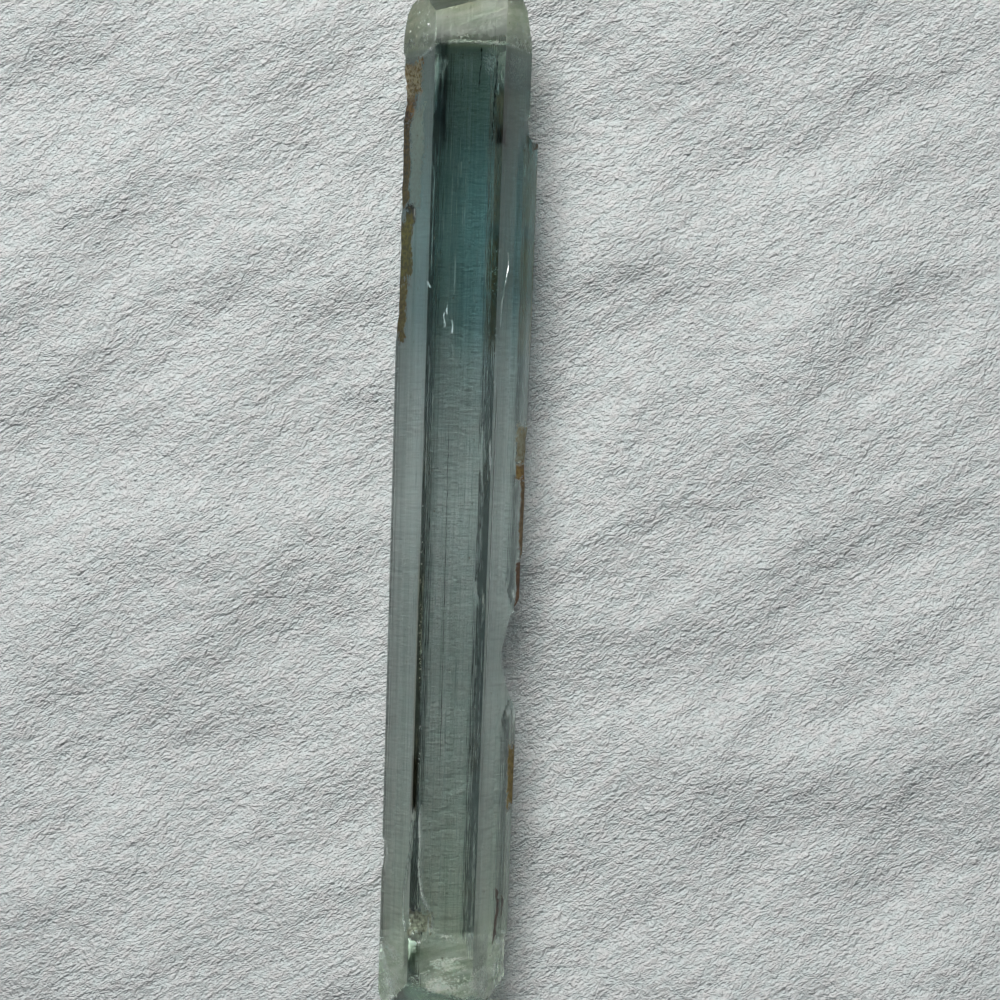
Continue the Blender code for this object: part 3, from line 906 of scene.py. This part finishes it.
# %% Streaks
STREAKS = [  # cells per mm across and along, where the noise begins and ends to count, colour
    (1.5, 0.020, 0.50, 0.68, "E4EAE8"),
    (5.5, 0.030, 0.51, 0.64, "E8ECEA"),
    (13.0, 0.05, 0.52, 0.64, "EAEEEC"),
]
for per_across, per_along, low, high, shade in STREAKS:
    stretched = add_node(
        tree,
        "ShaderNodeMapping",
        inputs={"Scale": (per_across, per_along, per_across)},
        links={"Vector": in_mm.outputs[0]},
    )
    layer = add_node(
        tree,
        "ShaderNodeTexNoise",
        inputs={"Scale": 1.0, "Detail": 2.0},
        links={"Vector": stretched.outputs[0]},
    )
    streak = add_node(
        tree,
        "ShaderNodeMapRange",
        inputs={"From Min": low, "From Max": high},
        links={"Value": layer.outputs["Fac"], "To Max": middle},
    )
    colour = tinted(tree, colour, streak.outputs["Result"], shade, 1.0, "MULTIPLY")
print(len(STREAKS), "kinds of streak")

# %% [markdown]
# Rust is only a film. On the left it starts at a chip near the head and thins towards the foot, on the right
# it follows the edge of the plate. Each stain is a patch with a frayed edge, and its rust is thicker in some
# spots.

# %% Rust
STAINS = [  # left, right, foot, head, lowest in mm, soft edges across and along, colours where thin and thick
    (-4.6, -3.15, 21.9, 24.0, 3.2, 0.30, 0.50, "A85A18", "3C1C06"),
    (-4.6, -2.75, 23.2, 25.3, 3.2, 0.40, 0.60, "F4CC94", "8A5014"),
    (-4.6, -3.35, 16.9, 22.0, 3.4, 0.14, 0.60, "74440A", "3E2606"),
    (-3.30, -2.60, 16.7, 22.2, 3.4, 0.24, 1.20, "BCC4B8", "AEB0A4"),
    (-3.50, -2.95, 15.7, 16.9, 3.4, 0.16, 0.30, "2C2418", "14100A"),
    (-4.6, -3.02, 12.4, 16.2, 3.4, 0.20, 0.80, "86600E", "4A3408"),
    (-4.6, -3.30, 9.3, 12.6, 3.4, 0.20, 0.90, "8C5E14", "5C380A"),
    (3.30, 4.6, 2.2, 4.4, 3.2, 0.24, 0.90, "B8AC88", "947848"),
    (3.30, 4.6, 1.4, 2.4, 3.2, 0.16, 0.40, "A06414", "703C0A"),
    (3.66, 4.6, -3.0, 1.4, 3.2, 0.12, 0.80, "8A5A2A", "5C3816"),
    (3.56, 4.6, -6.5, -3.2, 3.2, 0.14, 0.60, "703414", "42200C"),
    (3.42, 4.6, -17.6, -14.0, 3.2, 0.16, 0.90, "AC7A26", "7E5210"),
    (-1.95, -0.62, -24.8, -23.3, 5.0, 0.24, 0.34, "DCD6B4", "7A7254"),
    (3.85, 4.6, 20.3, 21.4, 3.0, 0.10, 0.24, "5C4630", "3A2818"),
]
dull = []
thick = add_node(
    tree,
    "ShaderNodeMapRange",
    inputs={"From Min": 0.45, "From Max": 0.56},
    links={"Value": frayed.outputs["Fac"]},
)
for left, right, foot, head, lowest, soft_x, soft_y, rust, dark_rust in STAINS:
    film = patch(tree, crooked.outputs[0], left, right, foot, head, soft_x, soft_y)
    upper = add_node(
        tree,
        "ShaderNodeMapRange",
        inputs={"From Min": lowest - 0.2, "From Max": lowest + 0.2},
        links={"Value": place.outputs["Z"], "To Max": film},
    )
    rough_film = add_node(
        tree,
        "ShaderNodeMath",
        settings={"operation": "MULTIPLY_ADD"},
        inputs={1: 2.0},
        links={0: frayed.outputs["Fac"], 2: upper.outputs["Result"]},
    )
    edge = add_node(
        tree,
        "ShaderNodeMapRange",
        inputs={"From Min": 1.35, "From Max": 1.65},
        links={"Value": rough_film.outputs[0]},
    )
    spots = add_node(
        tree,
        "ShaderNodeMix",
        settings={"data_type": "RGBA"},
        inputs={6: hex_colour(rust), 7: hex_colour(dark_rust)},
        links={0: thick.outputs["Result"]},
    )
    stained = add_node(
        tree,
        "ShaderNodeMix",
        settings={"data_type": "RGBA"},
        links={0: edge.outputs["Result"], 6: colour, 7: spots.outputs[2]},
    )
    colour = stained.outputs[2]
    dull.append(edge.outputs["Result"])
tree.links.new(colour, shader.inputs["Base Color"])
print(len(STAINS), "stains")

# %% [markdown]
# The natural faces are smooth but etched a little, and the broken ends are rougher. The head is frosted all
# round, as if ground, and rust is dull. A fine bump gives the faces the hair-thin striations that are too
# narrow to model, and dull pits between them.

# %% Finish
NATURAL_ROUGHNESS, BROKEN_ROUGHNESS, FROST_ROUGHNESS, RUST_ROUGHNESS = 0.06, 0.18, 0.40, 0.75
FROST_BEGINS, FROST_FULL = 25.4, 26.6  # mm along the crystal
break_mark = add_node(tree, "ShaderNodeAttribute", {"attribute_type": "GEOMETRY", "attribute_name": "broken"})
finish = add_node(
    tree,
    "ShaderNodeMapRange",
    inputs={"To Min": NATURAL_ROUGHNESS, "To Max": BROKEN_ROUGHNESS},
    links={"Value": break_mark.outputs["Fac"]},
)
crooked_place = add_node(tree, "ShaderNodeSeparateXYZ", links={"Vector": crooked.outputs[0]})
frost = add_node(
    tree,
    "ShaderNodeMapRange",
    inputs={"From Min": FROST_BEGINS, "From Max": FROST_FULL, "To Max": FROST_ROUGHNESS},
    links={"Value": crooked_place.outputs["Y"]},
)
rougher_looks = [frost.outputs["Result"]]
for film in dull:
    rust = add_node(tree, "ShaderNodeMath", {"operation": "MULTIPLY"}, {1: RUST_ROUGHNESS}, {0: film})
    rougher_looks.append(rust.outputs[0])
roughest = finish.outputs["Result"]
for other in rougher_looks:
    either = add_node(tree, "ShaderNodeMath", {"operation": "MAXIMUM"}, links={0: other, 1: roughest})
    roughest = either.outputs[0]
tree.links.new(roughest, shader.inputs["Roughness"])
drawn_out = add_node(
    tree,
    "ShaderNodeMapping",
    inputs={"Scale": (14.0, 0.4, 14.0)},  # cells per mm
    links={"Vector": in_mm.outputs[0]},
)
striae = add_node(
    tree,
    "ShaderNodeTexNoise",
    inputs={"Scale": 1.0, "Detail": 2.0},
    links={"Vector": drawn_out.outputs[0]},
)
pits = add_node(
    tree,
    "ShaderNodeTexNoise",
    inputs={"Scale": 8.0, "Detail": 3.0},  # cells per mm
    links={"Vector": in_mm.outputs[0]},
)
skin = add_node(
    tree,
    "ShaderNodeMath",
    settings={"operation": "MULTIPLY_ADD"},
    inputs={1: 0.12},
    links={0: pits.outputs["Fac"], 2: striae.outputs["Fac"]},
)
bump = add_node(
    tree,
    "ShaderNodeBump",
    inputs={"Strength": 0.35, "Distance": 0.00003},
    links={"Height": skin.outputs[0]},
)
tree.links.new(bump.outputs["Normal"], shader.inputs["Normal"])

SHARPER_STAYS_SHARP = radians(20)
crystal.data.materials.clear()
crystal.data.materials.append(aquamarine)
only(crystal)
bpy.ops.object.shade_smooth_by_angle(angle=SHARPER_STAYS_SHARP)
print("material nodes:", len(tree.nodes))

# %% Mark the broken faces
ON_THE_BREAK = 0.05  # mm
marks = crystal.data.attributes.new("broken", "FLOAT", "FACE")
centres = np.empty(len(crystal.data.polygons) * 3)
crystal.data.polygons.foreach_get("center", centres)
centres = (centres.reshape(-1, 3) - ROW_SHIFT) / MM
broken = np.zeros(len(centres))
for planes, shells, way in BREAKS.values():
    depth = break_depth(centres[:, 0], centres[:, 2], planes, shells, way)
    broken = np.maximum(broken, np.abs(way * centres[:, 1] - depth) < ON_THE_BREAK)
marks.data.foreach_set("value", broken.astype(np.float32))
print("broken faces:", int(broken.sum()))

# %% [markdown]
# ## What grew shut inside it
#
# Close up, an aquamarine is full of small things. Thin hollow tubes run along it, from where dirt settled on
# the growing tip. Breaks that healed left sheets of tiny bubbles, called veils, and open cracks show as black
# or silvery lines. They could be painted on the surface, but then they would not shift inside the crystal
# when it is turned. So they are small closed pieces under the upper faces, and the height of those faces is
# known from the section.

# %% Where the upper faces are
outline = np.array([section[name][0] for name in ("lower_left", "upper_left", "top", "upper_right")]) / MM
SEED = 7
random = np.random.default_rng(SEED)


def roof(x, y):
    """How high the crystal's upper faces stand above a place, in mm."""
    slim = 1 + TAPER * y * MM / LENGTH
    return slim * np.interp((x - ROW_SHIFT[0] / MM) / slim, outline[:, 0], outline[:, 1])


print("roof at the middle in mm:", round(float(roof(0.0, 0.0)), 2))


# %% One small piece, copied many times
def copies(seed, name, centres, sizes):
    """Copy a small piece to each centre at each size, in mm along X, Y and Z, and join the copies."""
    made = []
    for centre, size in zip(centres, sizes):
        one = seed.copy()
        one.data = seed.data.copy()
        one.location = Vector(centre) * MM
        one.scale = Vector(size) * MM
        bpy.context.scene.collection.objects.link(one)
        made.append(one)
    bpy.data.objects.remove(seed)
    bpy.ops.object.select_all(action="DESELECT")
    for one in made:
        one.select_set(True)
    bpy.context.view_layer.objects.active = made[0]
    bpy.ops.object.join()
    whole = bpy.context.object
    whole.name = name
    bpy.ops.object.transform_apply(location=True, rotation=True, scale=True)
    print(name, len(made), "copies", len(whole.data.polygons), "faces")
    return whole


# %% Growth tubes
TUBES = 300
TUBE_PLACES, TUBE_SIDES, TUBE_DEPTHS = (-24.5, 25.0), (-3.2, 3.2), (0.12, 1.6)  # mm
TUBE_RADII = (0.006, 0.018)  # mm
CLEAR_HEAD, CLEAR_FOOT = 24.8, -24.3  # mm, beyond which no tube runs
bpy.ops.object.select_all(action="DESELECT")
bpy.ops.mesh.primitive_cylinder_add(
    vertices=5,
    radius=1,
    depth=2,
    end_fill_type="TRIFAN",
    rotation=(radians(90), 0, 0),
)
tube_seed = bpy.context.object
bpy.ops.object.transform_apply(location=False, rotation=True, scale=False)
spots = places(tube_seed)
tips = np.hypot(spots[:, 0], spots[:, 2]) < 0.5
spots[tips, 1] *= 1.25  # the middle of each end is drawn out to a point
move_to(tube_seed, spots)
tube_y = random.uniform(*TUBE_PLACES, TUBES)
tube_x = random.uniform(*TUBE_SIDES, TUBES)
half_length = random.uniform(0.15, 1.0, TUBES) ** 2 * 3.2 + 0.1  # mm, and most are short
tube_y = np.clip(tube_y, CLEAR_FOOT + half_length, CLEAR_HEAD - half_length)
under = random.uniform(*TUBE_DEPTHS, TUBES)
lowest_roof = np.minimum(roof(tube_x, tube_y - half_length), roof(tube_x, tube_y + half_length))
tube_z = lowest_roof - under
thick_mm = random.uniform(*TUBE_RADII, TUBES)
growth_tubes = copies(
    tube_seed,
    "growth_tubes",
    np.column_stack([tube_x, tube_y, tube_z]),
    np.column_stack([thick_mm, half_length, thick_mm]),
)

# %% Veils
WELL_INSIDE = 0.12  # mm, how far behind a broken face every fleck stays
VEILS = [  # x, y, half width, half length, turn, depth under the roof, spread in depth, size, flecks
    (1.30, 25.85, 2.0, 0.13, 0, 0.05, 0.2, 0.036, 420),
    (-0.90, 25.85, 0.9, 0.13, 8, 0.05, 0.2, 0.036, 220),
    (-2.55, 25.35, 0.8, 0.12, 30, 0.05, 0.2, 0.036, 160),
    (1.05, 24.80, 0.36, 0.80, 0, 0.1, 0.3, 0.026, 200),
    (2.55, 24.60, 0.50, 1.10, 0, 0.05, 0.3, 0.030, 420),
    (0.2, 27.4, 2.2, 1.2, 18, 0.05, 0.3, 0.044, 1000),
    (-2.9, 27.2, 0.9, 1.5, 0, 0.03, 0.2, 0.052, 620),
    (3.0, 27.2, 0.9, 1.4, 0, 0.03, 0.2, 0.052, 440),
    (-0.3, 28.1, 1.7, 0.08, 20, 0.02, 0.06, 0.050, 300),
    (1.0, 28.7, 1.3, 0.07, 16, 0.02, 0.06, 0.050, 220),
    (0.8, 27.4, 1.5, 0.06, 22, 0.02, 0.06, 0.045, 220),
    (-2.05, 26.7, 0.10, 0.9, 0, 0.03, 0.06, 0.040, 90),
    (0.1, -24.6, 0.95, 0.20, -24, 0.05, 0.2, 0.028, 110),
    (0.4, -26.30, 1.10, 0.34, -6, 0.04, 0.15, 0.040, 420),
    (0.5, -25.95, 1.00, 0.12, 8, 0.04, 0.15, 0.030, 120),
    (-2.9, -26.0, 0.95, 0.40, -32, 0.04, 0.15, 0.040, 420),
    (0.2, -27.6, 2.2, 1.1, 0, 0.10, 0.4, 0.045, 420),
    (0.0, -27.6, 0.90, 0.50, -20, 0.05, 0.3, 0.050, 420),
    (2.1, -27.4, 0.50, 1.00, 0, 0.05, 0.3, 0.045, 420),
    (-2.9, -27.9, 0.70, 0.80, 0, 0.05, 0.3, 0.040, 200),
    (3.0, -26.8, 0.25, 0.90, 0, 0.1, 0.4, 0.045, 120),
    (1.80, 13.0, 0.25, 1.4, 0, 0.2, 0.2, 0.030, 24),
    (2.10, -2.0, 0.08, 12.0, 1, 0.1, 0.2, 0.032, 160),
    (-1.75, -8.0, 0.08, 8.0, 1, 0.1, 0.2, 0.032, 80),
]
bpy.ops.object.select_all(action="DESELECT")
bpy.ops.mesh.primitive_ico_sphere_add(subdivisions=1, radius=1)
fleck_seed = bpy.context.object
spots = places(fleck_seed)
spots[:, 2] *= 0.5  # flecks lie flat
move_to(fleck_seed, spots)
centres, sizes = [], []
for x, y, half_wide, half_long, turn, under, spread, size, count in VEILS:
    swing = random.uniform(0, 2 * pi, count)
    reach = random.uniform(0, 1, count) ** 0.8  # thickest in the middle
    over, up = half_wide * reach * np.cos(swing), half_long * reach * np.sin(swing)
    fleck_x = x + cos(radians(turn)) * over - sin(radians(turn)) * up
    fleck_y = y + sin(radians(turn)) * over + cos(radians(turn)) * up
    fleck_z = roof(fleck_x, fleck_y) - under - random.uniform(0, spread, count)
    small = size * random.uniform(0.35, 1.0, count)
    inside = np.ones(count, dtype=bool)
    for planes, shells, way in BREAKS.values():
        depth = break_depth(fleck_x - ROW_SHIFT[0] / MM, fleck_z, planes, shells, way)
        inside &= way * fleck_y < depth - WELL_INSIDE
    centres.append(np.column_stack([fleck_x, fleck_y, fleck_z])[inside])
    stretch = random.uniform(0.8, 2.5, count)  # a fleck is longest the way its veil is
    wide, long = (small * stretch, small) if half_wide > half_long else (small, small * stretch)
    sizes.append(np.column_stack([wide, long, small])[inside])
veils = copies(fleck_seed, "veils", np.concatenate(centres), np.concatenate(sizes))

# %% [markdown]
# A crack is a thin sheet that stands on edge under the face, so from above only its edge shows as a line. It
# is a small block, subdivided along its length and laid along its line, ragged at its lower edge and thin at
# both ends.

# %% Cracks
CRACK_CUTS = 71
HAIR = 0.004  # mm, the thinnest that a crack gets
CRACKS = [  # name, places from head to foot in mm, width, height, depth under the roof, gaps
    (
        "long_crack",
        [(1.55, 25.7), (1.50, 24.4), (1.42, 23.0), (1.38, 21.6), (1.36, 20.2)],
        0.12,
        0.7,
        0.06,
        0.35,
    ),
    ("short_crack", [(0.62, 25.7), (0.58, 24.6), (0.50, 23.0)], 0.12, 0.5, 0.06, 0.45),
    ("faint_crack", [(-0.42, 25.4), (-0.44, 24.0), (-0.47, 22.8)], 0.040, 0.3, 0.06, 0.45),
    ("hair_crack", [(-0.56, 4.7), (-0.50, -3.0), (-0.42, -16.8)], 0.040, 0.2, 0.05, 0.2),
    ("edge_crack", [(2.05, 7.5), (2.02, 2.0), (1.98, -5.0), (1.92, -14.0)], 0.040, 0.2, 0.06, 0.5),
    ("foot_crack", [(2.86, -22.1), (2.98, -23.0), (2.90, -23.9), (2.80, -25.5)], 0.085, 0.6, 0.05, 0.15),
    ("side_crack", [(3.18, -22.6), (3.22, -23.4), (3.15, -24.0)], 0.050, 0.3, 0.05, 0.3),
]


def crack_sheet(name, line, width, tall, under, gaps):
    """A thin upright sheet along a line of (x, y) places in mm, a given depth under the upper faces."""
    bpy.ops.object.select_all(action="DESELECT")
    bpy.ops.mesh.primitive_cube_add(size=1, location=(0, 0, 0))
    sheet = bpy.context.object
    sheet.name = name
    cut_lengthwise(sheet, CRACK_CUTS)
    spots = places(sheet)
    travel = 0.5 - spots[:, 1]
    line = np.array(line)
    knots = np.linspace(0, 1, len(line))
    length = abs(line[0, 1] - line[-1, 1])
    ragged = smooth_noise(travel * length * 1.9, travel * 0, len(name) + width)
    frayed_edge = smooth_noise(travel * length * 4.3, travel * 0 + 3, len(name) + width)
    y = np.interp(travel, knots, line[:, 1])
    x = np.interp(travel, knots, line[:, 0]) + 0.05 * ragged
    thin_ends = np.minimum(1, 12 * travel * (1 - travel))
    open_width = width * np.clip(0.75 - gaps + 0.9 * frayed_edge, 0.06, 1.0) * thin_ends
    z = roof(x, y) - under
    below = spots[:, 2] < 0
    x = x + spots[:, 0] * np.maximum(open_width, HAIR)
    low_ends = np.minimum(1, 0.1 + 8 * travel * (1 - travel))
    z = z - np.where(below, tall * (0.7 + 0.5 * ragged) * low_ends, 0)
    move_to(sheet, np.column_stack([x, y, z]) * MM)
    return sheet


dark_cracks = [crack_sheet(*crack) for crack in CRACKS]
SILVER_CRACKS = [  # the same columns
    ("feather_head", [(2.42, 14.27), (2.47, 13.48), (2.29, 12.16)], 0.12, 0.3, 0.04, 0.0),
    ("feather_foot", [(2.29, 12.16), (2.15, 11.24), (2.14, 9.88)], 0.11, 0.3, 0.04, 0.0),
    ("dash_left", [(-1.02, 10.65), (-0.99, 9.75)], 0.075, 0.2, 0.04, -0.2),
    ("dash_middle", [(-0.86, 11.05), (-0.86, 10.45)], 0.075, 0.2, 0.04, -0.2),
    ("dash_right", [(-0.57, 10.21), (-0.52, 9.43)], 0.075, 0.2, 0.04, -0.2),
    ("star_glint", [(-2.02, 12.35), (-1.86, 11.95)], 0.160, 0.2, 0.06, 0.0),
    ("edge_glint", [(2.10, 7.0), (2.06, 1.0), (2.02, -6.0), (1.96, -14.0)], 0.045, 0.1, 0.04, 0.55),
    ("crack_glint", [(1.62, 23.6), (1.60, 22.9)], 0.050, 0.2, 0.06, 0.0),
]
silver_cracks = [crack_sheet(*crack) for crack in SILVER_CRACKS]
print(len(dark_cracks), "dark cracks,", len(silver_cracks), "silvery cracks")


# %% Finishes of what is inside
def inside_look(name, first, second, metallic, roughness, scale):
    """A solid finish whose colour changes between two sRGB colours. Scale is in cells per mm."""
    look, tree, shader = new_look(name, {"Metallic": metallic, "Roughness": roughness})
    spot = add_node(tree, "ShaderNodeTexCoord")
    grain = add_node(
        tree,
        "ShaderNodeTexNoise",
        inputs={"Scale": scale * 1000, "Detail": 3.0},
        links={"Vector": spot.outputs["Object"]},
    )
    mixed = add_node(tree, "ShaderNodeValToRGB", links={"Fac": grain.outputs["Fac"]})
    set_stops(mixed, [(0.38, first), (0.62, second)])
    relief = add_node(
        tree,
        "ShaderNodeBump",
        inputs={"Strength": 0.4, "Distance": 0.00001},
        links={"Height": grain.outputs["Fac"]},
    )
    tree.links.new(mixed.outputs["Color"], shader.inputs["Base Color"])
    tree.links.new(relief.outputs["Normal"], shader.inputs["Normal"])
    return look


# Hollow tubes scatter light, so they look like pale frost. A bubble's wall mirrors nearly all the light that
# meets it from inside the crystal, as metal would. An open crack turns light away from the eye and looks
# black, or silvery where it tilts towards the window, and iron that seeped in made some of them brown.
FINISHES = [  # name, two colours, metallic, roughness, cells per mm, pieces
    ("hollow_tube_frost", "9AA8A6", "D4DEDA", 0.0, 0.8, 0.8, [growth_tubes]),
    ("bubble_veil", "E4F0EC", "FFFFFF", 1.0, 0.40, 2.0, [veils]),
    ("open_crack", "0A1214", "26302E", 0.0, 0.5, 3.0, dark_cracks[:5]),
    ("iron_stained_crack", "3A2014", "6A4630", 0.0, 0.6, 3.0, dark_cracks[5:]),
    ("silvery_crack", "E4ECEA", "FFFFFF", 1.0, 0.35, 3.0, silver_cracks),
]
for name, first, second, metallic, roughness, scale, pieces in FINISHES:
    look = inside_look(name, first, second, metallic, roughness, scale)
    for piece in pieces:
        piece.data.materials.clear()
        piece.data.materials.append(look)
        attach(piece, "root")
    print(name, "on", len(pieces), "pieces")

# %% Hand over to the frame
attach(crystal, "root")
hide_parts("crystal")
bpy.context.view_layer.update()
visual_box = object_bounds()
sizes = {"cad": [list(corner) for corner in cad_box], "visual": [list(corner) for corner in visual_box]}
print("visual box in mm:", [[round(value / MM, 2) for value in corner] for corner in visual_box])
